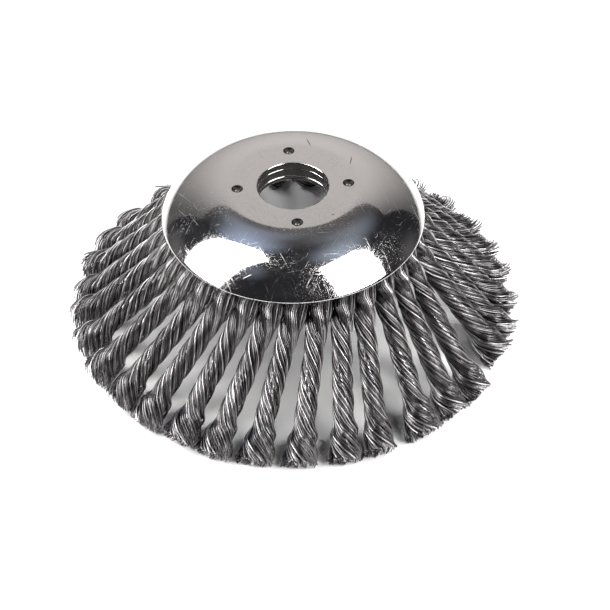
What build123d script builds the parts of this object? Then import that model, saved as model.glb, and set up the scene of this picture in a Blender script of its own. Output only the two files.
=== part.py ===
# Conical weed brush for a brush cutter.
# A pressed steel guard cap, a dished knot plate and a backing plate are clamped round one bore
# and held by four pins. Each wire knot is a bundle bent double through a hole near the edge
# of the knot plate. Its upper leg lies over the edge and its lower leg under it, and outside
# the cap the two are twisted into a rope that flares at its cut end.
# Millimetres, +Z up the bore, origin on the bore's axis at the floor the knots stand on.

import os
from math import asin, atan2, cos, hypot, pi, radians, sin, sqrt, tan

from build123d import *

os.makedirs("parts", exist_ok=True)

# Whole brush
overall_height = 61.5
bore_diameter = 25.4
seat_gap = 0.1

# Guard cap, a flat that rolls down on one radius and turns by crown_turn to its rim
cap_diameter = 94.0
crown_turn = 56.1
cap_sheet = 2.5
cap_flat_diameter = 45.2
bore_edge_chamfer = 0.5

# Knot plate, a flat hub, a shallow dish and a steep flange that holds the knots
knot_plate_thickness = 3.5
dish_gap = 0.6
hole_shift = 1.5
hole_width = 4.8
edge_web = 2.4

# Backing plate under the hub
backing_inset = 0.2
backing_plate_thickness = 1.8

# Pins through the three sheets
pin_count = 4
pin_inset = 2.9
pin_turn = 4.0
pin_diameter = 2.4
pin_pit_diameter = 4.2
pin_pit_depth = 0.8
pin_boss_height = 0.7
pin_tip_diameter = 1.4
pin_head_diameter = 3.4
pin_head_height = 0.5

# Wire knots
knot_count = 33
knot_turn = -1.2
tip_circle_diameter = 155.0
tip_center_height = 3.2
lean_angle = 16.0
leg_thickness = 2.7
leg_width = 4.2
bend_width = 3.6
edge_leg_width = 6.2
fan_width = 7.2
fan_reach = 7.5
crown_gap = 0.4
strand_width = 4.8
strand_thickness = 4.1
strand_offset = 1.65
twist_reach = 13.0
twist_pitch = 36.0
twist_steps = 5
flare_length = 10.0
flare_width = 10.2
flare_thickness = 9.6
flare_offset = 2.0

# Levels of the clamped stack
cap_underside = overall_height - cap_sheet
hub_underside = cap_underside - knot_plate_thickness
backing_underside = hub_underside - backing_plate_thickness
bore_radius = bore_diameter / 2
half_plate = knot_plate_thickness / 2

# Crown arc, tangent to the flat and ending at the rim
cap_flat_radius = cap_flat_diameter / 2
pin_circle_radius = cap_flat_radius - pin_inset
crown_run = cap_diameter / 2 - cap_flat_radius
rim_slope = radians(crown_turn)
crown_radius = crown_run / sin(rim_slope)
crown_inner_radius = crown_radius - cap_sheet
crown_center_height = overall_height - crown_radius

# The flange lies on the cone through the middle of the knots' ends, low enough under the
# crown for a leg to pass between the two where they are closest. The holes are there too.
leg_offset = half_plate + seat_gap + leg_thickness / 2
leg_room = leg_offset + leg_thickness / 2 + crown_gap
tip_radius = tip_circle_diameter / 2
crown_side = tip_radius - cap_flat_radius
crown_rise = crown_center_height - tip_center_height
flange_arm = crown_inner_radius - leg_room
flange_slope = atan2(crown_rise, crown_side) + asin(flange_arm / hypot(crown_side, crown_rise))
hole_radius = cap_flat_radius + flange_arm * sin(flange_slope) - hole_shift * cos(flange_slope)
hole_height = tip_center_height + (tip_radius - hole_radius) * tan(flange_slope)
knot_length = hypot(hole_height - tip_center_height, tip_radius - hole_radius)
flange_reach = hole_width / 2 + edge_web


def flange_point(along, above):
    """Radius and height of a point along the flange from a hole and square above its middle."""
    radius = hole_radius + along * cos(flange_slope) + above * sin(flange_slope)
    height = hole_height - along * sin(flange_slope) + above * cos(flange_slope)
    return (radius, height)


def station(along, turn):
    """Plane square to the flange, facing down it, with X round the axis and Y out of the cone."""
    radius, height = flange_point(along, 0)
    out = (cos(radians(turn)), sin(radians(turn)))
    return Plane(
        origin=(radius * out[0], radius * out[1], height),
        x_dir=(-out[1], out[0], 0),
        z_dir=(cos(flange_slope) * out[0], cos(flange_slope) * out[1], -sin(flange_slope)),
    )


def flange_face(turn):
    """Plane in the middle of the flange over a hole, facing out of the cone."""
    out = (cos(radians(turn)), sin(radians(turn)))
    return Plane(
        origin=(hole_radius * out[0], hole_radius * out[1], hole_height),
        x_dir=(-out[1], out[0], 0),
        z_dir=(sin(flange_slope) * out[0], sin(flange_slope) * out[1], cos(flange_slope)),
    )


# Guard cap
rim_outer = (cap_diameter / 2, crown_center_height + crown_radius * cos(rim_slope))
rim_inner = (
    cap_flat_radius + crown_inner_radius * sin(rim_slope),
    crown_center_height + crown_inner_radius * cos(rim_slope),
)
with BuildPart() as guard_cap:
    with BuildSketch(Plane.XZ):
        with BuildLine():
            Line((bore_radius, cap_underside), (bore_radius, overall_height))
            Line((bore_radius, overall_height), (cap_flat_radius, overall_height))
            TangentArc((cap_flat_radius, overall_height), rim_outer, tangent=(1, 0))
            Line(rim_outer, rim_inner)
            TangentArc((cap_flat_radius, cap_underside), rim_inner, tangent=(1, 0))
            Line((cap_flat_radius, cap_underside), (bore_radius, cap_underside))
        make_face()
    revolve(axis=Axis.Z)
    top_face = guard_cap.faces().filter_by(Axis.Z).sort_by(Axis.Z)[-1]
    chamfer(top_face.edges().sort_by(SortBy.LENGTH)[0], bore_edge_chamfer)
    with Locations(Plane.XY.offset(overall_height)):
        with PolarLocations(pin_circle_radius, pin_count, start_angle=pin_turn):
            CounterBoreHole((pin_diameter + seat_gap) / 2, pin_pit_diameter / 2, pin_pit_depth)
guard_cap.part.label = "guard_cap"
export_step(guard_cap.part, "parts/guard_cap.step")

# Knot plate
dish_along = hole_shift - sqrt((crown_inner_radius - dish_gap) ** 2 - (flange_arm + half_plate) ** 2)
dish_top = flange_point(dish_along, half_plate)
dish_slope = atan2(cap_underside - dish_top[1], dish_top[0] - cap_flat_radius)
hub_bend = knot_plate_thickness * tan(dish_slope / 2)
flange_bend = knot_plate_thickness * tan((flange_slope - dish_slope) / 2)
with BuildPart() as knot_plate:
    with BuildSketch(Plane.XZ):
        with BuildLine():
            Polyline(
                (bore_radius, cap_underside),
                (cap_flat_radius, cap_underside),
                dish_top,
                flange_point(flange_reach, half_plate),
                flange_point(flange_reach, -half_plate),
                flange_point(dish_along - flange_bend, -half_plate),
                (cap_flat_radius - hub_bend, hub_underside),
                (bore_radius, hub_underside),
                close=True,
            )
        make_face()
    revolve(axis=Axis.Z)
    for knot in range(knot_count):
        with BuildSketch(flange_face(knot_turn + knot * 360 / knot_count)):
            Rectangle(hole_width, hole_width)
        extrude(amount=knot_plate_thickness, both=True, mode=Mode.SUBTRACT)
    with Locations(Plane.XY.offset(cap_underside)):
        with PolarLocations(pin_circle_radius, pin_count, start_angle=pin_turn):
            Hole((pin_diameter + seat_gap) / 2, depth=knot_plate_thickness)
knot_plate.part.label = "knot_plate"
export_step(knot_plate.part, "parts/knot_plate.step")

# Backing plate
backing_radius = cap_flat_radius - hub_bend - backing_inset
with BuildPart() as backing_plate:
    with BuildSketch(Plane.XY.offset(backing_underside)):
        Circle(backing_radius)
        Circle(bore_radius, mode=Mode.SUBTRACT)
    extrude(amount=backing_plate_thickness)
    with Locations(-Plane.XY.offset(backing_underside)):
        with PolarLocations(pin_circle_radius, pin_count, start_angle=-pin_turn):
            CounterSinkHole((pin_diameter + seat_gap) / 2, (pin_head_diameter + seat_gap) / 2)
backing_plate.part.label = "backing_plate"
export_step(backing_plate.part, "parts/backing_plate.step")

# Pins, a countersunk head flush with the backing plate and a swaged tip in the cap's pit
pit_floor = overall_height - pin_pit_depth
for pin in range(pin_count):
    with BuildPart() as clamp_pin:
        with BuildSketch(Plane.XZ):
            with BuildLine():
                Polyline(
                    (0, backing_underside),
                    (pin_head_diameter / 2, backing_underside),
                    (pin_diameter / 2, backing_underside + pin_head_height),
                    (pin_diameter / 2, pit_floor),
                    (pin_tip_diameter / 2, pit_floor + pin_boss_height),
                    (0, pit_floor + pin_boss_height),
                    close=True,
                )
            make_face()
        revolve(axis=Axis.Z)
    pin_angle = pin_turn + pin * 360 / pin_count
    with BuildPart() as placed_pin:
        with PolarLocations(pin_circle_radius, 1, start_angle=pin_angle):
            add(clamp_pin.part)
    placed_pin.part.label = f"clamp_pin_{pin + 1}"
    export_step(placed_pin.part, f"parts/clamp_pin_{pin + 1}.step")


def lean_shift(along):
    """How far round the rope's middle has moved where the knot leans outside the fan."""
    return -tan(radians(lean_angle)) * max(0, along - fan_reach)


def bundle_corners(along, side, above, width, thickness):
    """Corners of the section of a bundle of wires at one station of the first knot."""
    section = station(along, knot_turn)
    return [
        section.from_local_coords((side + right * width / 2, above + up * thickness / 2, 0))
        for right in (1, -1)
        for up in (1, -1)
    ]


# The first wire knot, whose two strands start as the legs over and under the flange's edge
# and twist left-handed about each other to the cut end
leg_start = -hole_width / 2
bend_length = hole_width / 2 - seat_gap
twist_step = (knot_length - flare_length - twist_reach) / twist_steps
twisted = [
    (twist_reach + step * twist_step, strand_offset, strand_width, strand_thickness)
    for step in range(twist_steps + 1)
]
twisted.append((knot_length, flare_offset, flare_width, flare_thickness))
with BuildPart() as first_knot:
    for face in (1, -1):
        stations = [
            (leg_start, 0, leg_offset * face, leg_width, leg_thickness),
            (flange_reach, 0, leg_offset * face, edge_leg_width, leg_thickness),
            (fan_reach, 0, strand_offset * face, fan_width, leg_thickness),
        ]
        for along, offset, width, thickness in twisted:
            turned = -2 * pi * (along - twist_reach) / twist_pitch
            side = lean_shift(along) - offset * face * sin(turned)
            stations.append((along, side, offset * face * cos(turned), width, thickness))
        for near, far in zip(stations, stations[1:]):
            ConvexPolyhedron(bundle_corners(*near) + bundle_corners(*far))
    with BuildSketch(flange_face(knot_turn)):
        with Locations((0, -bend_length / 2)):
            Rectangle(bend_width, bend_length)
    extrude(amount=leg_offset, both=True)
    split(bisect_by=Plane.XY, keep=Keep.TOP)

for knot in range(knot_count):
    with BuildPart() as wire_knot:
        add(first_knot.part, rotation=(0, 0, knot * 360 / knot_count))
    wire_knot.part.label = f"wire_knot_{knot + 1:02d}"
    export_step(wire_knot.part, f"parts/wire_knot_{knot + 1:02d}.step")
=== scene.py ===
# A conical weed brush for a brush cutter: a polished guard cap over a ring of twisted wire
# knots, on a pale floor between two soft studio lights.
from math import atan2, cos, hypot, pi, radians, sin, tan
from random import Random

import bmesh
import bpy
from mathutils import Matrix, Vector


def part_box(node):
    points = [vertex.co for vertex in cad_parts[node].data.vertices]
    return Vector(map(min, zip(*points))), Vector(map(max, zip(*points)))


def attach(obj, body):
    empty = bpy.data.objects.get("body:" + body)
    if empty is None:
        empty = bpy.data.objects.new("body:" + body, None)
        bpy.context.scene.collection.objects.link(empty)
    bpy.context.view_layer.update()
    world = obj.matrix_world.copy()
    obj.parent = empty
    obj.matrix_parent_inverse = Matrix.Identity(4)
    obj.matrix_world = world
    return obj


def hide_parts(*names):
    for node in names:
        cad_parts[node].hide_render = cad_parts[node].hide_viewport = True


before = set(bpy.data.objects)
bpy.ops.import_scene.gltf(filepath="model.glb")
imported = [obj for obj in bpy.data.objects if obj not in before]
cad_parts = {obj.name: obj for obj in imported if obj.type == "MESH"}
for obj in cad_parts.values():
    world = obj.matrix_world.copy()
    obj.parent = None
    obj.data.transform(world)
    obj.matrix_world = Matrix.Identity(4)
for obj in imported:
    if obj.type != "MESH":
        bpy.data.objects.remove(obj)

bl_info = {
    "name": "Conical Weed Brush",
    "version": (1, 0, 0),
    "blender": (4, 5, 0),
    "location": "View3D > Sidebar > Brush",
    "description": "Builds the looks of a conical wire weed brush round its CAD model",
    "category": "Object",
}

MM = 0.001
CAP_LOW, CAP_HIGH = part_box("guard_cap")
PIN_NODES = sorted(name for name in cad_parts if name.startswith("clamp_pin_"))
KNOT_NODES = sorted(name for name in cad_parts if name.startswith("wire_knot_"))


def length(name, description, default_mm):
    """A property that holds a length, given in millimetres."""
    return bpy.props.FloatProperty(
        name=name, description=description, default=default_mm * MM, precision=5,
        unit="LENGTH", subtype="DISTANCE",
    )


def angle(name, description, default_degrees):
    """A property that holds an angle, given in degrees."""
    return bpy.props.FloatProperty(
        name=name, description=description, default=radians(default_degrees),
        unit="ROTATION", subtype="ANGLE",
    )


def point(name, description, default_mm):
    """A property that holds a point, given in millimetres."""
    return bpy.props.FloatVectorProperty(
        name=name, description=description, default=[value * MM for value in default_mm], size=3,
        unit="LENGTH", subtype="TRANSLATION",
    )


def number(name, description, default):
    """A property that holds a plain number."""
    return bpy.props.FloatProperty(name=name, description=description, default=default, precision=4)


def linear(hex_colour):
    """Linear red, green, blue and alpha of an sRGB hex colour."""
    channels = [int(hex_colour[start:start + 2], 16) / 255 for start in (1, 3, 5)]
    straight = [c / 12.92 if c <= 0.04045 else ((c + 0.055) / 1.055) ** 2.4 for c in channels]
    return (*straight, 1.0)


def colour(name, description, hex_colour):
    """A property that holds a colour, given as sRGB hex."""
    return bpy.props.FloatVectorProperty(
        name=name, description=description, default=linear(hex_colour), size=4, min=0, max=1,
        subtype="COLOR",
    )


class BrushCapSizes(bpy.types.PropertyGroup):
    """Guard cap, plates and pins."""

    sheet: length("Cap sheet", "Thickness of the cap's sheet", 2.5)
    flat_radius: length("Flat radius", "Radius of the cap's flat top", 22.6)
    bore_radius: length("Bore radius", "Radius of the bore through the three sheets", 12.7)
    bore_round: length("Bore rounding", "Rounding of the bore's upper edge", 0.3)
    rim_round: length("Rim rounding", "Rounding of the cap's cut rim", 0.35)
    pin_circle_radius: length("Pin circle radius", "Radius of the circle that the pins stand on", 19.7)
    pin_turn: angle("Pin turn", "Angle from +X to the first pin", 4.0)
    pin_radius: length("Pin radius", "Radius of a pin's shank", 1.2)
    pit_radius: length("Pit radius", "Radius of the pit round a pin", 2.1)
    pit_depth: length("Pit depth", "Depth of the pit round a pin", 0.8)
    polish: colour("Polished steel", "Colour of the polished cap", "#D9D7D6")
    rolled: colour("Rolled steel", "Colour of unpolished sheet", "#5F5C5A")
    swaged: colour("Swaged steel", "Colour of the pins", "#5A5856")


class BrushKnotSizes(bpy.types.PropertyGroup):
    """Wire knots."""

    hole_radius: length("Hole circle", "Radius from the axis to a knot's hole", 38.04)
    hole_height: length("Hole height", "Height of a hole's middle over the floor", 47.77)
    flange_slope: angle("Flange slope", "Slope of the flange that holds the knots", 48.48)
    knot_length: length("Knot length", "From a hole's middle to the cut end", 60.2)
    knot_turn: angle("Knot turn", "Angle from +X to the first knot", -1.2)
    lean: angle("Lean", "How far a knot leans round the axis", 16.4)
    lean_start: length("Lean start", "Where the lean begins, from the hole", 5.5)
    wire_radius: length("Wire radius", "Radius of one drawn wire", 0.25)
    pitch: length("Twist pitch", "Length of one turn of the two strands", 30.6)
    twist_start: length("Twist start", "Where the two legs begin to turn, from the hole", 7.8)
    half_plate: length("Half plate", "Half the thickness of the knot plate", 1.75)
    steel: colour("Wire steel", "Colour of the drawn steel wire", "#979495")
    # Painted shade: the near-black colour of a knot's inside, where the wires lie in shadow
    grime: colour("Wire core", "Colour of the dark inside of a knot", "#0D0D0E")


class BrushStageSettings(bpy.types.PropertyGroup):
    """Floor, lights and camera."""

    camera_place: point("Camera place", "Where the camera stands", (0, -543.15, 513.56))
    camera_aim: point("Camera aim", "Point in the middle of the picture", (3.858, -25.307, 27.5))
    camera_roll: angle("Camera roll", "How far the camera is rolled", -0.277)
    lens: number("Lens", "Focal length on a 36 mm sensor", 118.03)
    softbox_strength: number("Softbox strength", "Brightness of the two soft lights", 11.5)
    wall_strength: number("Back wall strength", "Brightness of the grey wall behind the brush", 0.72)
    floor: colour("Floor", "Colour of the pale floor", "#EDECEB")
    room: colour("Room", "Colour of the dark room round the stage", "#2B2B2E")


def add_node(tree, kind, settings=None, links=None, stops=()):
    """Adds one node. Settings are its properties or input values, links are inputs fed by sockets,
    and stops are the positions and colours of a colour ramp, its two ends first."""
    node = tree.nodes.new(kind)
    for name, value in (settings or {}).items():
        if isinstance(name, str) and hasattr(node, name):
            setattr(node, name, value)
        else:
            node.inputs[name].default_value = value
    for name, socket in (links or {}).items():
        tree.links.new(socket, node.inputs[name])
    for index, (position, value) in enumerate(stops):
        elements = node.color_ramp.elements
        element = elements[index] if index < 2 else elements.new(position)
        element.position = position
        element.color = value
    return node


def new_material(name):
    """An empty material, its node tree and its output node."""
    material = bpy.data.materials.new(name)
    material.use_nodes = True
    material.node_tree.nodes.clear()
    output = add_node(material.node_tree, "ShaderNodeOutputMaterial")
    return material, material.node_tree, output


def grey(value):
    """A grey as a linear colour."""
    return (value, value, value, 1.0)


def shade(base, share):
    """A linear colour made darker or lighter by a share."""
    return tuple(min(1.0, channel * share) for channel in base[:3]) + (1.0,)


def laid_over(tree, masks):
    """Several masks laid over each other as one, where the lightest shows."""
    top = masks[0]
    for mask in masks[1:]:
        mix = add_node(
            tree, "ShaderNodeMix", {"data_type": "RGBA", "blend_type": "LIGHTEN", 0: 1.0},
            {6: top, 7: mask},
        )
        top = mix.outputs[2]
    return top


def worn_marks(tree, place, turn, size_mm, low, high):
    """Mask of marks of a size in millimetres. They start where the noise is low and are full at high."""
    mapping = add_node(
        tree, "ShaderNodeMapping",
        {"vector_type": "TEXTURE", "Rotation": (0, 0, turn), "Scale": [side * MM for side in size_mm]},
        {"Vector": place},
    )
    noise = add_node(
        tree, "ShaderNodeTexNoise", {"Scale": 1.0, "Detail": 2.0}, {"Vector": mapping.outputs["Vector"]}
    )
    mask = add_node(
        tree, "ShaderNodeValToRGB", links={"Fac": noise.outputs["Fac"]},
        stops=[(low, grey(0)), (high, grey(1))],
    )
    return mask.outputs["Color"]


def knock(tree, place, start, end, width):
    """Mask of one straight knock on the cap, between two points in millimetres seen from above."""
    across, up = end[0] - start[0], end[1] - start[1]
    middle = ((start[0] + end[0]) / 2 * MM, (start[1] + end[1]) / 2 * MM, 0)
    size = (hypot(across, up) / 2 * MM, width / 2 * MM, 1)
    mapping = add_node(
        tree, "ShaderNodeMapping",
        {"vector_type": "TEXTURE", "Location": middle, "Rotation": (0, 0, atan2(up, across)),
         "Scale": size},
        {"Vector": place},
    )
    away = add_node(
        tree, "ShaderNodeVectorMath", {"operation": "LENGTH"}, {0: mapping.outputs["Vector"]}
    )
    mask = add_node(
        tree, "ShaderNodeValToRGB", links={"Fac": away.outputs["Value"]},
        stops=[(0.6, grey(1)), (1.0, grey(0))],
    )
    return mask.outputs["Color"]


def polished_steel(base):
    """Pressed steel, mirror polished: sharp reflections, hairline scratches, fine pits, some knocks."""
    material, tree, output = new_material("polished_steel")
    place = add_node(tree, "ShaderNodeTexCoord").outputs["Object"]
    # Hairline scratches a centimetre long in three directions. They are drawn 0.3 mm wide, because
    # real ones are too fine to show
    scratches = laid_over(tree, [
        worn_marks(tree, place, 0.5, (0.33, 16, 16), 0.64, 0.78),
        worn_marks(tree, place, 1.7, (0.3, 12, 12), 0.64, 0.78),
        worn_marks(tree, place, 2.6, (0.3, 12, 12), 0.64, 0.78),
    ])
    # Pits left by the polish, about 0.4 mm across, in patches about 2 cm across
    pits = worn_marks(tree, place, 0.0, (0.4, 0.4, 0.4), 0.52, 0.68)
    patches = worn_marks(tree, place, 0.0, (18, 18, 18), 0.35, 0.6)
    pitted = add_node(
        tree, "ShaderNodeMix", {"data_type": "RGBA", "blend_type": "MULTIPLY", 0: 1.0},
        {6: pits, 7: patches},
    ).outputs[2]
    # Short knocks on the flat and the crown, where the photograph shows them
    knocks = laid_over(tree, [
        knock(tree, place, (4.9, 27.5), (6.7, 21.7), 0.5),
        knock(tree, place, (21.3, 16.9), (20.4, 11.2), 0.5),
        knock(tree, place, (13.3, -15.8), (14.3, -15.8), 0.8),
        knock(tree, place, (15.6, -19.2), (17.6, -22.6), 0.35),
        knock(tree, place, (17.6, -19.4), (15.2, -22.0), 0.3),
    ])
    worn = laid_over(tree, [scratches, knocks])
    worn_bump = add_node(
        tree, "ShaderNodeBump", {"Strength": 0.05, "Distance": 0.02 * MM}, {"Height": worn}
    )
    pitted_bump = add_node(
        tree, "ShaderNodeBump", {"Strength": 0.06, "Distance": 0.02 * MM},
        {"Height": pitted, "Normal": worn_bump.outputs["Normal"]},
    )
    pitted_dull = add_node(
        tree, "ShaderNodeValToRGB", links={"Fac": pitted}, stops=[(0.0, grey(0)), (1.0, grey(0.75))]
    )
    dull = laid_over(tree, [worn, pitted_dull.outputs["Color"]])
    rough = add_node(tree, "ShaderNodeMapRange", {"To Min": 0.05, "To Max": 0.4}, {"Value": dull})
    tone = add_node(
        tree, "ShaderNodeValToRGB", links={"Fac": knocks}, stops=[(0.0, base), (1.0, shade(base, 0.35))]
    )
    shader = add_node(
        tree, "ShaderNodeBsdfPrincipled", {"Metallic": 1.0},
        {"Base Color": tone.outputs["Color"], "Roughness": rough.outputs["Result"],
         "Normal": pitted_bump.outputs["Normal"]},
    )
    tree.links.new(shader.outputs["BSDF"], output.inputs["Surface"])
    return material


def rolled_steel(base):
    """Hot rolled sheet steel, blanked and dished: dull grey with faint mill streaks."""
    material, tree, output = new_material("rolled_steel")
    place = add_node(tree, "ShaderNodeTexCoord").outputs["Object"]
    # Mill streaks about 0.5 mm apart and 17 mm long that run along the sheet
    mapping = add_node(tree, "ShaderNodeMapping", {"Scale": (60, 2000, 60)}, {"Vector": place})
    streaks = add_node(
        tree, "ShaderNodeTexNoise", {"Scale": 1.0, "Detail": 3.0}, {"Vector": mapping.outputs["Vector"]}
    ).outputs["Fac"]
    tone = add_node(
        tree, "ShaderNodeValToRGB", links={"Fac": streaks}, stops=[(0.3, shade(base, 0.72)), (0.7, base)]
    )
    rough = add_node(tree, "ShaderNodeMapRange", {"To Min": 0.3, "To Max": 0.45}, {"Value": streaks})
    shader = add_node(
        tree, "ShaderNodeBsdfPrincipled", {"Metallic": 1.0},
        {"Base Color": tone.outputs["Color"], "Roughness": rough.outputs["Result"]},
    )
    tree.links.new(shader.outputs["BSDF"], output.inputs["Surface"])
    return material


def swaged_steel(base):
    """Mild steel peened over cold: small facets and dark smears."""
    material, tree, output = new_material("swaged_steel")
    place = add_node(tree, "ShaderNodeTexCoord").outputs["Object"]
    # Peening marks about 0.6 mm across
    dents = add_node(
        tree, "ShaderNodeTexVoronoi", {"Scale": 1600.0}, {"Vector": place}
    ).outputs["Distance"]
    tone = add_node(
        tree, "ShaderNodeValToRGB", links={"Fac": dents}, stops=[(0.1, shade(base, 0.4)), (0.6, base)]
    )
    bump = add_node(tree, "ShaderNodeBump", {"Strength": 0.4, "Distance": 0.1 * MM}, {"Height": dents})
    shader = add_node(
        tree, "ShaderNodeBsdfPrincipled", {"Metallic": 1.0, "Roughness": 0.4},
        {"Base Color": tone.outputs["Color"], "Normal": bump.outputs["Normal"]},
    )
    tree.links.new(shader.outputs["BSDF"], output.inputs["Surface"])
    return material


def drawn_wire(base):
    """Drawn carbon steel wire: bright along each wire, each wire lighter or darker at random, the darkest
    as painted shade between wires and the brightest as painted highlight.
    """
    material, tree, output = new_material("drawn_wire")
    geometry = add_node(tree, "ShaderNodeNewGeometry")
    place = add_node(tree, "ShaderNodeTexCoord").outputs["Object"]
    # Each wire is an island of the mesh with a tone at random. About every third is nearly black, painted
    # shade for the gaps between wires, and the lightest, above the steel's own colour, are painted
    # highlights
    tone = add_node(
        tree, "ShaderNodeValToRGB", links={"Fac": geometry.outputs["Random Per Island"]},
        stops=[(0.0, shade(base, 0.05)), (1.0, shade(base, 2.2)), (0.35, shade(base, 0.36)), (0.7, base)],
    )
    # Drawing film and dust in smears about 4 mm long
    smears = add_node(tree, "ShaderNodeTexNoise", {"Scale": 260.0, "Detail": 2.0}, {"Vector": place})
    film = add_node(
        tree, "ShaderNodeValToRGB", links={"Fac": smears.outputs["Fac"]},
        stops=[(0.3, grey(0.7)), (0.65, grey(1.0))],
    )
    dulled = add_node(
        tree, "ShaderNodeMix", {"data_type": "RGBA", "blend_type": "MULTIPLY", 0: 1.0},
        {6: tone.outputs["Color"], 7: film.outputs["Color"]},
    )
    shader = add_node(
        tree, "ShaderNodeBsdfPrincipled", {"Metallic": 1.0, "Roughness": 0.28},
        {"Base Color": dulled.outputs[2]},
    )
    tree.links.new(shader.outputs["BSDF"], output.inputs["Surface"])
    return material


def painted_core_shade(base):
    """Painted shade for the wires inside a knot: dark and dull, standing in for the shadow they lie in.
    """
    material, tree, output = new_material("painted_core_shade")
    shader = add_node(
        tree, "ShaderNodeBsdfPrincipled", {"Base Color": base, "Roughness": 0.8, "Metallic": 0.0}
    )
    tree.links.new(shader.outputs["BSDF"], output.inputs["Surface"])
    return material


def shared(finish, base):
    """A finish by its function: made once, and then used again."""
    return bpy.data.materials.get(finish.__name__) or finish(tuple(base))


def spun(name, outline, steps):
    """A closed outline of (radius, height) points turned all the way round the axis."""
    made = bmesh.new()
    corners = [made.verts.new((radius, 0, height)) for radius, height in outline]
    edges = [made.edges.new((corners[index - 1], corners[index])) for index in range(len(corners))]
    bmesh.ops.spin(
        made, geom=corners + edges, cent=(0, 0, 0), axis=(0, 0, 1), dvec=(0, 0, 0), angle=2 * pi,
        steps=steps, use_merge=True, use_duplicate=False,
    )
    bmesh.ops.remove_doubles(made, verts=made.verts, dist=0.0001 * MM)
    bmesh.ops.recalc_face_normals(made, faces=made.faces)
    return mesh_object(name, made)


def mesh_object(name, made):
    """A smooth-shaded object from a bmesh, with hard edges kept sharp."""
    mesh = bpy.data.meshes.new(name)
    made.to_mesh(mesh)
    made.free()
    piece = bpy.data.objects.new(name, mesh)
    bpy.context.scene.collection.objects.link(piece)
    smooth(piece)
    return piece


def smooth(piece):
    """Smooth shading, with edges sharper than 30 degrees left hard."""
    piece.data.shade_smooth()
    piece.data.set_sharp_from_angle(angle=radians(30))


def cut(piece, cutters):
    """Cuts the cutters out of a piece and removes them."""
    for cutter in cutters:
        modifier = piece.modifiers.new("cut", "BOOLEAN")
        modifier.operation = "DIFFERENCE"
        modifier.solver = "EXACT"
        modifier.object = cutter
    graph = bpy.context.evaluated_depsgraph_get()
    mesh = bpy.data.meshes.new_from_object(piece.evaluated_get(graph))
    piece.modifiers.clear()
    piece.data = mesh
    for cutter in cutters:
        bpy.data.objects.remove(cutter)
    smooth(piece)


def finish_piece(piece, node, slot_name, *materials):
    """Gives a piece its materials (its slot name is not used), lets it ride, and hides the node that it
    stands for.
    """
    piece.data.materials.clear()
    for material in materials:
        piece.data.materials.append(material)
    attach(piece, "root")
    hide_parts(node)


def direction(azimuth, elevation):
    """Unit vector by degrees to the right of +Y and degrees up."""
    turn, rise = radians(azimuth), radians(elevation)
    return Vector((sin(turn) * cos(rise), cos(turn) * cos(rise), sin(rise)))


def arc(centre, radius, start, end, steps):
    """Points on an arc; angles are from straight up, turning outwards."""
    return [
        (centre[0] + radius * sin(start + (end - start) * step / steps),
         centre[1] + radius * cos(start + (end - start) * step / steps))
        for step in range(steps + 1)
    ]


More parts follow.
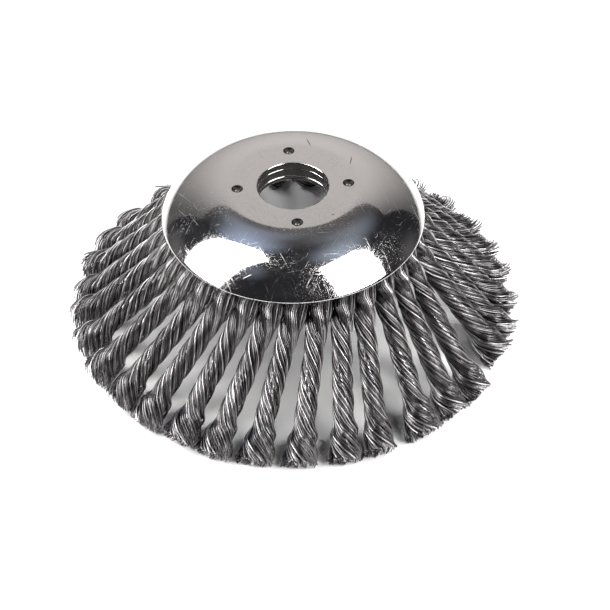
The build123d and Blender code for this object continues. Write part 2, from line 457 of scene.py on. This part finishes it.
class BRUSH_OT_stage(bpy.types.Operator):
    """Makes the floor, the lights and the camera"""

    bl_idname = "brush.stage"
    bl_label = "Stage"

    # How far the floor reaches and how far from the cap the soft patches of light stand, in metres
    FLOOR_REACH = 1.1
    PATCH_DISTANCE = 1.4

    def execute(self, context):
        settings = context.scene.brush_stage
        self.floor(settings)
        self.world(settings)
        self.cards(settings)
        self.camera(context, settings)
        return {"FINISHED"}

    def floor(self, settings):
        """A pale floor that looks white where nothing shades it."""
        made = bmesh.new()
        bmesh.ops.create_circle(
            made, cap_ends=True, cap_tris=False, segments=96, radius=self.FLOOR_REACH
        )
        floor = mesh_object("floor", made)
        material, tree, output = new_material("pale_floor")
        # All but the camera see it darken from 0.1 to 0.9 m out, so that its mirror image in the
        # cap has no hard edge
        place = add_node(tree, "ShaderNodeTexCoord").outputs["Object"]
        away = add_node(tree, "ShaderNodeVectorMath", {"operation": "LENGTH"}, {0: place})
        fall = add_node(
            tree, "ShaderNodeMapRange",
            {"interpolation_type": "SMOOTHSTEP", "From Min": 0.1, "From Max": 0.9, "To Min": 1.0,
             "To Max": 0.2},
            {"Value": away.outputs["Value"]},
        )
        paths = add_node(tree, "ShaderNodeLightPath")
        share = add_node(
            tree, "ShaderNodeMath", {"operation": "MAXIMUM"},
            {0: fall.outputs["Result"], 1: paths.outputs["Is Camera Ray"]},
        )
        tone = add_node(
            tree, "ShaderNodeMix", {"data_type": "RGBA", 6: grey(0.0), 7: tuple(settings.floor)},
            {0: share.outputs["Value"]},
        )
        shader = add_node(
            tree, "ShaderNodeBsdfPrincipled", {"Roughness": 0.9, "Specular IOR Level": 0.0},
            {"Base Color": tone.outputs[2]},
        )
        tree.links.new(shader.outputs["BSDF"], output.inputs["Surface"])
        floor.data.materials.append(material)

    def world(self, settings):
        """White behind the object, and a dark room that lights it a little and shows in its cap."""
        world = bpy.data.worlds.new("studio")
        bpy.context.scene.world = world
        world.use_nodes = True
        tree = world.node_tree
        tree.nodes.clear()
        output = add_node(tree, "ShaderNodeOutputWorld")
        paths = add_node(tree, "ShaderNodeLightPath")
        room = add_node(tree, "ShaderNodeBackground", {"Color": tuple(settings.room), "Strength": 1.0})
        white = add_node(tree, "ShaderNodeBackground", {"Color": grey(1.0), "Strength": 1.0})
        mix = add_node(
            tree, "ShaderNodeMixShader",
            links={0: paths.outputs["Is Camera Ray"], 1: room.outputs["Background"],
                   2: white.outputs["Background"]},
        )
        tree.links.new(mix.outputs["Shader"], output.inputs["Surface"])

    def card(self, name, corners, facing, distance, hex_colour, strength, fade=None):
        """A flat glowing card that the cap sees between corners given as (azimuth, elevation). It
        stands square to the direction given as facing, at a distance in metres."""
        normal = direction(*facing)
        eye = Vector((0, 0, CAP_HIGH.z))
        made = bmesh.new()
        points = []
        for corner in corners:
            ray = direction(*corner)
            points.append(made.verts.new(eye + ray * (distance / ray.dot(normal))))
        made.faces.new(points)
        self.lit(name, made, hex_colour, strength, fade)

    def patch(self, name, towards, reach, hex_colour, strength):
        """A soft round patch of light seen from the cap, brightest in its middle."""
        ray = direction(*towards)
        middle = Vector((0, 0, CAP_HIGH.z)) + ray * self.PATCH_DISTANCE
        facing = ray.to_track_quat("Z", "Y").to_matrix().to_4x4()
        made = bmesh.new()
        bmesh.ops.create_circle(
            made, cap_ends=True, cap_tris=False, segments=48, radius=reach,
            matrix=Matrix.Translation(middle) @ facing,
        )
        self.lit(name, made, hex_colour, strength, (middle, reach, 0.0))

    def lit(self, name, made, hex_colour, strength, fade):
        """Makes a shape glow. A fade is its brightest point, how far the light reaches, and what is
        left of it there."""
        card = mesh_object(name, made)
        material, tree, output = new_material(name + "_glow")
        glow = add_node(tree, "ShaderNodeEmission", {"Color": linear(hex_colour), "Strength": strength})
        if fade:
            middle, reach, rest = fade
            place = add_node(tree, "ShaderNodeTexCoord").outputs["Object"]
            away = add_node(
                tree, "ShaderNodeVectorMath", {"operation": "DISTANCE", 1: middle}, {0: place}
            )
            fall = add_node(
                tree, "ShaderNodeMapRange",
                {"interpolation_type": "SMOOTHSTEP", "From Max": reach, "To Min": strength,
                 "To Max": rest},
                {"Value": away.outputs["Value"]},
            )
            tree.links.new(fall.outputs["Result"], glow.inputs["Strength"])
            # The light adds to what lies behind the card
            clear = add_node(tree, "ShaderNodeBsdfTransparent")
            glow = add_node(
                tree, "ShaderNodeAddShader", links={0: glow.outputs["Emission"], 1: clear.outputs["BSDF"]}
            )
        tree.links.new(glow.outputs[0], output.inputs["Surface"])
        card.data.materials.append(material)
        card.visible_camera = False

    def cards(self, settings):
        """Two softboxes at the brush's sides, their bluish spill, and a grey wall behind the brush.
        Directions are in degrees from the cap's middle, matched to what the polished crown mirrors."""
        glow = settings.softbox_strength
        wall = settings.wall_strength
        self.card(
            "left_softbox",
            [(-120, 14), (-86, 10), (-80, 28), (-69, 50), (-65, 58), (-63, 66), (-68, 73), (-120, 75)],
            (-92, 45), 1.2, "#FFFFFF", glow,
        )
        self.card(
            "right_softbox",
            [(145, 20), (104, 16), (97, 36), (88, 50), (89, 59), (102, 63), (143, 65)],
            (118, 45), 1.2, "#FFFFFF", glow,
        )
        self.patch("left_spill", (-52, 66), 0.5, "#A9BAD6", 1.1)
        self.patch("left_spill_tail", (-19, 57), 0.36, "#A9BAD6", 0.5)
        self.patch("right_spill", (92, 66), 0.56, "#B4C0D2", 0.9)
        self.patch("right_spill_tail", (45, 60), 0.5, "#B4C0D2", 0.4)
        self.patch("left_edge_spill", (-127, 55), 0.4, "#B4C0D2", 0.3)
        self.patch("ceiling", (0, 50), 1.1, "#F4F0F0", 0.13)
        self.patch("left_horizon", (-72, 4), 0.5, "#F4F0F0", 0.12)
        self.patch("right_horizon", (76, 4), 0.5, "#F4F0F0", 0.1)
        middle = Vector((0, 0, CAP_HIGH.z)) + direction(2, 20) * 1.6
        self.card(
            "back_wall", [(-54, -2), (50, -2), (48, 38), (0, 43), (-50, 38)],
            (0, 14), 1.6, "#FFFAF7", wall, (middle, 1.8, 0.14 * wall),
        )

    def camera(self, context, settings):
        """The camera at the photograph's angle, for a square picture."""
        data = bpy.data.cameras.new("camera")
        data.sensor_width = 36
        data.lens = settings.lens
        data.clip_start = 0.05
        camera = bpy.data.objects.new("camera", data)
        context.scene.collection.objects.link(camera)
        place = Vector(settings.camera_place)
        turn = (Vector(settings.camera_aim) - place).to_track_quat("-Z", "Y").to_matrix().to_4x4()
        roll = Matrix.Rotation(settings.camera_roll, 4, "Z")
        camera.matrix_world = Matrix.Translation(place) @ turn @ roll
        context.scene.camera = camera
        context.scene.view_settings.view_transform = "Standard"


class BRUSH_OT_cap(bpy.types.Operator):
    """Makes the polished guard cap with a pit for each pin"""

    bl_idname = "brush.cap"
    bl_label = "Guard cap"

    # Steps round the axis, along the crown's outside and its inside, and round a rounded edge
    ROUND_STEPS = 256
    CROWN_STEPS = 48
    INSIDE_STEPS = 32
    BORE_STEPS = 6
    RIM_STEPS = 5

    def execute(self, context):
        sizes = context.scene.brush_cap
        top = CAP_HIGH.z
        under = top - sizes.sheet
        flat, bore, roll = sizes.flat_radius, sizes.bore_radius, sizes.bore_round
        run = CAP_HIGH.x - flat
        drop = top - CAP_LOW.z
        # The cap's box reaches down to the inner corner of its rim, which gives the crown's turn
        turn = self.crown_turn(run, drop, sizes.sheet)
        radius = run / sin(turn)
        centre = (flat, top - radius)
        rim = sizes.rim_round
        # Points close to the bends keep the shading of the flat and of the bore's wall straight
        near = roll / 6
        outline = [(bore, top - roll - near)]
        outline += arc((bore + roll, top - roll), roll, -pi / 2, 0, self.BORE_STEPS)
        outline += [(bore + roll + near, top), (flat - near, top)]
        outline += arc(centre, radius, 0, turn - rim / radius, self.CROWN_STEPS)
        # Round the outer and the inner corner of the rim, then up the inside to the bore
        bends = [step * pi / 2 / self.RIM_STEPS for step in range(self.RIM_STEPS + 1)]
        for bend in bends[1:]:
            depth = rim - rim * cos(bend)
            outline.append(self.rim_point(centre, radius, turn, depth, rim * sin(bend) - rim))
        for bend in bends[:-1]:
            depth = sizes.sheet - rim + rim * sin(bend)
            outline.append(self.rim_point(centre, radius, turn, depth, rim * cos(bend) - rim))
        outline += arc(centre, radius - sizes.sheet, turn - rim / radius, 0, self.INSIDE_STEPS)
        outline += [(bore, under)]
        cap = spun("guard_cap_polished", outline, self.ROUND_STEPS)
        pits = []
        for pin in range(len(PIN_NODES)):
            around = sizes.pin_turn + pin * 2 * pi / len(PIN_NODES)
            across, up = sizes.pin_circle_radius * cos(around), sizes.pin_circle_radius * sin(around)
            # A pit is a little wider at its mouth than at its floor
            made = bmesh.new()
            bmesh.ops.create_cone(
                made, cap_ends=True, segments=40, radius1=sizes.pit_radius * 0.92,
                radius2=sizes.pit_radius * 1.04, depth=2 * sizes.pit_depth,
                matrix=Matrix.Translation((across, up, top)),
            )
            pits.append(mesh_object("pit", made))
        cut(cap, pits)
        finish_piece(
            cap, "guard_cap", "polished_cap",
            shared(polished_steel, sizes.polish), shared(rolled_steel, sizes.rolled),
        )
        # The punched bore and the pits were never polished
        unpolished = 0
        for face in cap.data.polygons:
            reach = hypot(face.center.x, face.center.y)
            in_pit = reach < flat and roll < top - face.center.z < sizes.sheet / 2
            if in_pit or reach < bore + 0.01 * MM:
                face.material_index = 1
                unpolished += 1
        if not unpolished:
            raise RuntimeError("the cap has no bore and no pits")
        return {"FINISHED"}

    def crown_turn(self, run, drop, sheet):
        """Angle that the crown turns through, found by halving from its run and its drop."""
        low, high = radians(20), radians(85)
        for _ in range(40):
            turn = (low + high) / 2
            radius = run / sin(turn)
            reached = radius - (radius - sheet) * cos(turn)
            low, high = (turn, high) if reached < drop else (low, turn)
        return turn

    def rim_point(self, centre, radius, turn, depth, beyond):
        """A point at a depth under the crown's outside and a distance along the sheet past its rim."""
        at = turn + beyond / radius
        return (centre[0] + (radius - depth) * sin(at), centre[1] + (radius - depth) * cos(at))


class BRUSH_OT_plates(bpy.types.Operator):
    """Makes the knot plate and the backing plate, with the edges of their bores rounded"""

    bl_idname = "brush.plates"
    bl_label = "Plates"

    def execute(self, context):
        sizes = context.scene.brush_cap
        for node in ("knot_plate", "backing_plate"):
            made = bmesh.new()
            made.from_mesh(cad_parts[node].data)
            bmesh.ops.remove_doubles(made, verts=made.verts, dist=0.001 * MM)
            bmesh.ops.dissolve_limit(
                made, angle_limit=radians(0.5), use_dissolve_boundaries=False, verts=made.verts,
                edges=made.edges,
            )
            edges = [edge for edge in made.edges if self.round_the_bore(edge, sizes.bore_radius)]
            if not edges:
                raise RuntimeError(f"{node} has no bore edge to round")
            # The rounded edges take the second material, because the punch left them bright
            bmesh.ops.bevel(
                made, geom=edges, offset=sizes.bore_round, segments=3, profile=0.5, affect="EDGES",
                material=1,
            )
            bmesh.ops.recalc_face_normals(made, faces=made.faces)
            plate = mesh_object(node + "_rolled", made)
            bright = [face.index for face in plate.data.polygons if face.material_index == 1]
            finish_piece(
                plate, node, "plate_steel",
                shared(rolled_steel, sizes.rolled), shared(polished_steel, sizes.polish),
            )
            for face in bright:
                plate.data.polygons[face].material_index = 1
        return {"FINISHED"}

    def round_the_bore(self, edge, radius):
        """Whether an edge lies on the rim of the bore."""
        ends = [corner.co for corner in edge.verts]
        on_wall = all(abs(hypot(end.x, end.y) - radius) < 0.02 * MM for end in ends)
        return on_wall and abs(ends[0].z - ends[1].z) < 0.001 * MM


class BRUSH_OT_pins(bpy.types.Operator):
    """Makes the four swaged pins"""

    bl_idname = "brush.pins"
    bl_label = "Pins"

    def execute(self, context):
        sizes = context.scene.brush_cap
        if not PIN_NODES:
            raise RuntimeError("the frame has no clamp pins")
        for node in PIN_NODES:
            low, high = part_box(node)
            floor = CAP_HIGH.z - sizes.pit_depth
            head = (high.x - low.x) / 2
            shank = sizes.pin_radius
            dome = high.z - floor
            # A countersunk head below, the shank, and the dome that fills the cap's pit
            outline = [(head, low.z), (shank, low.z + head - shank), (shank, floor)]
            outline += [(shank * cos(rise), floor + dome * sin(rise)) for rise in (0.3, 0.7, 1.1, 1.4)]
            outline += [(0, high.z), (0, low.z)]
            pin = spun(node + "_swaged", outline, 32)
            pin.data.transform(Matrix.Translation(((low.x + high.x) / 2, (low.y + high.y) / 2, 0)))
            finish_piece(pin, node, "pin_steel", shared(swaged_steel, sizes.swaged))
        return {"FINISHED"}


def eased(points, at):
    """Smooth value at a place along a list of (place, value) points."""
    if at <= points[0][0]:
        return points[0][1]
    for (start, first), (end, last) in zip(points, points[1:]):
        if at <= end:
            share = (at - start) / (end - start)
            share = share * share * (3 - 2 * share)
            return first + (last - first) * share
    return points[-1][1]


def band_point(share, half_width, half_thickness):
    """Point on the outline of a band with round ends, by the share of the way round it."""
    quadrant, part = divmod(share % 1 * 4, 1)
    if quadrant % 2:
        part = 1 - part
    flat = max(0, half_width - half_thickness)
    bend = half_thickness * pi / 2
    reach = part * (bend + flat)
    if reach < bend:
        side = flat + half_thickness * cos(reach / half_thickness)
        above = half_thickness * sin(reach / half_thickness)
    else:
        side, above = flat + bend - reach, half_thickness
    return (-side if quadrant in (1, 2) else side, -above if quadrant > 1 else above)


class BRUSH_OT_knots(bpy.types.Operator):
    """Makes each wire knot of its single wires, two strands twisted into a rope that flares"""

    bl_idname = "brush.knots"
    bl_label = "Wire knots"

    # All in millimetres; places along a knot are counted from the middle of its hole.
    # Section of a strand along the knot: how far its middle lies from the rope's middle, half its
    # width and half its thickness
    OFFSET = [(4.8, 3.2), (9.0, 2.3), (14.0, 1.5), (20.0, 1.0), (47.0, 1.0), (51.5, 1.5), (61.0, 2.0)]
    HALF_WIDTH = [
        (0.0, 2.1), (4.8, 3.5), (7.0, 3.8), (11.0, 3.6), (18.0, 3.1), (47.0, 3.3), (51.5, 4.8),
        (61.0, 6.2),
    ]
    HALF_THICKNESS = [
        (4.8, 1.3), (9.0, 1.5), (14.0, 2.1), (20.0, 2.2), (47.0, 2.3), (51.5, 3.3), (61.0, 4.0),
    ]
    # Where the legs leave the edge of the flange, where the rope begins to flare, and where the
    # short wires begin that fill the cut end
    FLANGE_EDGE = 4.8
    FLARE_START = 47.0
    FILL_START = 46.0
    # How far the tips of the knots that the photograph shows out of line are pushed aside, by the
    # knot's number from 0
    PUSHED = {14: 5.0, 15: 5.0, 16: 4.0, 17: 3.0, 28: -1.0, 29: 1.3, 31: -2.0, 32: 5.5}
    # Wires on the outside of a strand, and the rings of wires inside its cut end: each ring's share
    # of the strand's section, its wires, and its finish, 0 bright steel or 1 dark painted shade for
    # the inner wires that lie in shadow
    OUTER_WIRES = 25
    FILL_RINGS = ((0.76, 18, 0), (0.5, 12, 1), (0.24, 6, 1))
    # Pieces that an outer wire and a short wire are bent from
    OUTER_STEPS = 44
    FILL_STEPS = 14
    # The end is cut at a slant, so that wires on the upper side are shorter, and square to the
    # leaning rope
    SLANT = 0.42
    SQUARE = 0.29
    # Share of the wires that stray
    STRAY = 0.03

    def execute(self, context):
        sizes = context.scene.brush_knots
        if not KNOT_NODES:
            raise RuntimeError("the frame has no wire knots")
        for count, node in enumerate(KNOT_NODES):
            self.knot(context, sizes, count, node)
        return {"FINISHED"}

    def knot(self, context, sizes, count, node):
        """One knot as a bundle of tubes along their wires, each a little unlike the next knot."""
        dice = Random(100 + count)
        self.turn = sizes.knot_turn + count * 2 * pi / len(KNOT_NODES)
        self.lean = sizes.lean + radians(dice.uniform(-0.9, 0.9))
        self.pitch = sizes.pitch / MM * dice.uniform(0.95, 1.06)
        self.start = sizes.twist_start / MM + dice.uniform(-0.8, 0.8)
        self.bow = dice.uniform(-0.4, 0.4)
        self.pushed = self.PUSHED.get(count, 0)
        self.swell = dice.uniform(0.93, 1.07)
        self.end = sizes.knot_length / MM + dice.uniform(-0.5, 0.5)
        curve = bpy.data.curves.new(node + "_wires", "CURVE")
        curve.dimensions = "3D"
        curve.bevel_depth = sizes.wire_radius
        # Four sides are enough for a wire of half a millimetre
        curve.bevel_resolution = 0
        curve.use_fill_caps = True
        for face in (1, -1):
            for wire in range(self.OUTER_WIRES):
                around = 2 * pi * (wire + dice.uniform(-0.25, 0.25)) / self.OUTER_WIRES
                self.outer_wire(curve, sizes, dice, face, around)
            for ring, wires, slot in self.FILL_RINGS:
                for wire in range(wires):
                    around = 2 * pi * (wire + dice.uniform(-0.4, 0.4)) / wires
                    self.fill_wire(curve, sizes, dice, face, around, ring, slot)
            self.core(curve, sizes, face)
        shape = bpy.data.objects.new("wires", curve)
        context.scene.collection.objects.link(shape)
        mesh = bpy.data.meshes.new_from_object(shape.evaluated_get(context.evaluated_depsgraph_get()))
        bpy.data.objects.remove(shape)
        mesh.shade_smooth()
        knot = bpy.data.objects.new(node + "_twisted", mesh)
        context.scene.collection.objects.link(knot)
        # The knot's second material is the dark painted shade of its inside
        finish_piece(
            knot, node, "knot_wire", shared(drawn_wire, sizes.steel), shared(painted_core_shade, sizes.grime)
        )

    def section_point(self, along, face, around, ring):
        """Side and height in the rope's section of a wire at an angle round its strand. Face is 1 for
        the leg over the flange and -1 for the leg under it, and ring is the wire's share of the way
        from the middle of the strand to its outside."""
        half_width = eased(self.HALF_WIDTH, along)
        half_thickness = eased(self.HALF_THICKNESS, along)
        offset = eased(self.OFFSET, along)
        # Some ends flare a little more than others, fully so 5 mm into the flare
        grown = 1 + (self.swell - 1) * min(1, max(0, along - self.FLARE_START) / 5)
        # The wires lag behind the twist, so that where it begins they still run straight out, and
        # the lag grows slower after 12 mm
        past = max(0, along - self.start)
        early = min(12, past)
        lag = (0.95 * early - 0.032 * early * early + 0.18 * (past - early)) / self.pitch
        side, above = band_point(around / (2 * pi) + lag, half_width, half_thickness)
        side *= ring * grown
        above = max(0.1, offset + ring * above * face) * grown * face
        # Both strands turn left-handed about the rope's middle
        turn = -2 * pi * past / self.pitch
        return (side * cos(turn) - above * sin(turn), side * sin(turn) + above * cos(turn))

    def world_point(self, along, side, above, sizes):
        """Place of a point of the knot in the brush's own frame, in metres."""
        # The knot leans, is pushed aside and bows from here on, over the 54 mm to its tip
        leaning = max(0, along - sizes.lean_start / MM)
        side += self.pushed * (leaning / 54) ** 1.3 - tan(self.lean) * leaning
        side += self.bow * sin(pi * min(1, leaning / 50))
        slope = sizes.flange_slope
        radius = sizes.hole_radius / MM + along * cos(slope) + above * sin(slope)
        height = sizes.hole_height / MM - along * sin(slope) + above * cos(slope)
        return Vector((
            radius * cos(self.turn) - side * sin(self.turn),
            radius * sin(self.turn) + side * cos(self.turn),
            max(height, sizes.wire_radius / MM),
        )) * MM

    def outer_wire(self, curve, sizes, dice, face, around):
        """One wire on the outside of a strand, from its bend in the hole to its cut end."""
        side, above = self.section_point(self.FLANGE_EDGE, face, around, 1.0)
        # Wires near the web bend close to the hole's outer side and the others further in. Each
        # starts in the middle of the plate, squeezed together by the hole.
        depth = (abs(above) - sizes.half_plate / MM) / 2.9
        hook = 1.9 - 3.6 * depth
        bend = []
        for along, share in ((hook, 0.0), (hook, 0.55), (hook + 0.5, 0.9), (hook + 1.4, 1.0)):
            bend.append(self.world_point(along, side * 0.62, above * share, sizes))
        run = self.run(sizes, dice, face, around, 1.0, self.FLANGE_EDGE, self.OUTER_STEPS)
        self.spline(curve, bend + run, 0)

    def fill_wire(self, curve, sizes, dice, face, around, ring, slot):
        """One short wire inside the cut end of a strand."""
        run = self.run(sizes, dice, face, around, ring, self.FILL_START, self.FILL_STEPS)
        self.spline(curve, run, slot)

    def run(self, sizes, dice, face, around, ring, first, steps):
        """Points along a wire from a place on the knot to its cut end. The wire wavers a little in
        its strand, and over its last 4 mm it comes free: it splays to one side and curls outwards."""
        wander = dice.uniform(0, 2 * pi)
        sway = dice.uniform(0.01, 0.05)
        lift = dice.uniform(-0.02, 0.03)
        stray = dice.random() < self.STRAY
        splay = dice.gauss(0, 0.25) + (dice.uniform(-1.2, 1.2) if stray else 0)
        curl = abs(dice.gauss(0, 0.04)) + (0.08 if stray else 0)
        last = self.end_of_wire(sizes, dice, face, around, ring)
        points = []
        for step in range(steps + 1):
            along = first + (last - first) * step / steps
            turn = around + sway * sin(wander + along * 0.35)
            out = ring * (1 + lift * sin(wander * 2 + along * 0.22))
            side, above = self.section_point(along, face, turn, out)
            free = max(0, along - (last - 4)) / 4
            side = side * (1 + curl * free * free) - splay * free * free
            above = above * (1 + curl * free * free)
            points.append(self.world_point(along, side, above, sizes))
        return points

    def end_of_wire(self, sizes, dice, face, around, ring):
        """Where a wire is cut. Lower wires reach further, as far as the floor lets them."""
        side, above = self.section_point(self.end, face, around, ring)
        last = self.end + self.SQUARE * side - self.SLANT * above + dice.uniform(-0.4, 0.4)
        slope = sizes.flange_slope
        floor = (sizes.hole_height / MM + above * cos(slope) - sizes.wire_radius / MM) / sin(slope)
        return min(last, floor + dice.uniform(-0.4, 0.2))

    def core(self, curve, sizes, face):
        """A tube inside one strand, up to 4.2 mm from its cut end, in the dark painted shade of the
        strand's shadowed inside.
        """
        reach = self.end - 4.2 - self.FLANGE_EDGE
        stations = [self.FLANGE_EDGE + reach * step / 29 for step in range(30)]
        points = []
        for along in stations:
            side, above = self.section_point(along, face, 0, 0)
            points.append(self.world_point(along, side, above, sizes))
        spline = self.spline(curve, points, 1)
        for index, along in enumerate(stations):
            thickness = eased(self.HALF_THICKNESS, along) * 0.8 * MM
            spline.points[index].radius = thickness / sizes.wire_radius

    def spline(self, curve, points, slot):
        """A run of straight pieces through points, with a finish, 0 bright steel or 1 dark painted shade.
        """
        spline = curve.splines.new("POLY")
        spline.points.add(len(points) - 1)
        spline.points.foreach_set("co", [value for corner in points for value in (*corner, 1.0)])
        spline.material_index = slot
        spline.use_smooth = True
        return spline


class BRUSH_PT_panel(bpy.types.Panel):
    """Lists the steps that build the brush"""

    bl_label = "Weed brush"
    bl_idname = "BRUSH_PT_panel"
    bl_space_type = "VIEW_3D"
    bl_region_type = "UI"
    bl_category = "Brush"

    def draw(self, context):
        for step in STEPS:
            self.layout.operator(step.bl_idname)


STEPS = (BRUSH_OT_stage, BRUSH_OT_cap, BRUSH_OT_plates, BRUSH_OT_pins, BRUSH_OT_knots)
GROUPS = (
    (BrushCapSizes, "brush_cap"), (BrushKnotSizes, "brush_knots"), (BrushStageSettings, "brush_stage"),
)


def register():
    """Makes the sizes, the steps and the panel known to Blender."""
    for group, name in GROUPS:
        bpy.utils.register_class(group)
        setattr(bpy.types.Scene, name, bpy.props.PointerProperty(type=group))
    for step in STEPS:
        bpy.utils.register_class(step)
    bpy.utils.register_class(BRUSH_PT_panel)


def unregister():
    """Takes them away again."""
    bpy.utils.unregister_class(BRUSH_PT_panel)
    for step in reversed(STEPS):
        bpy.utils.unregister_class(step)
    for group, name in reversed(GROUPS):
        delattr(bpy.types.Scene, name)
        bpy.utils.unregister_class(group)


def main():
    """Builds the brush step by step."""
    register()
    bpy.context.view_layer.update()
    bpy.ops.brush.stage()
    bpy.ops.brush.cap()
    bpy.ops.brush.plates()
    bpy.ops.brush.pins()
    bpy.ops.brush.knots()


if __name__ == "__main__":
    main()
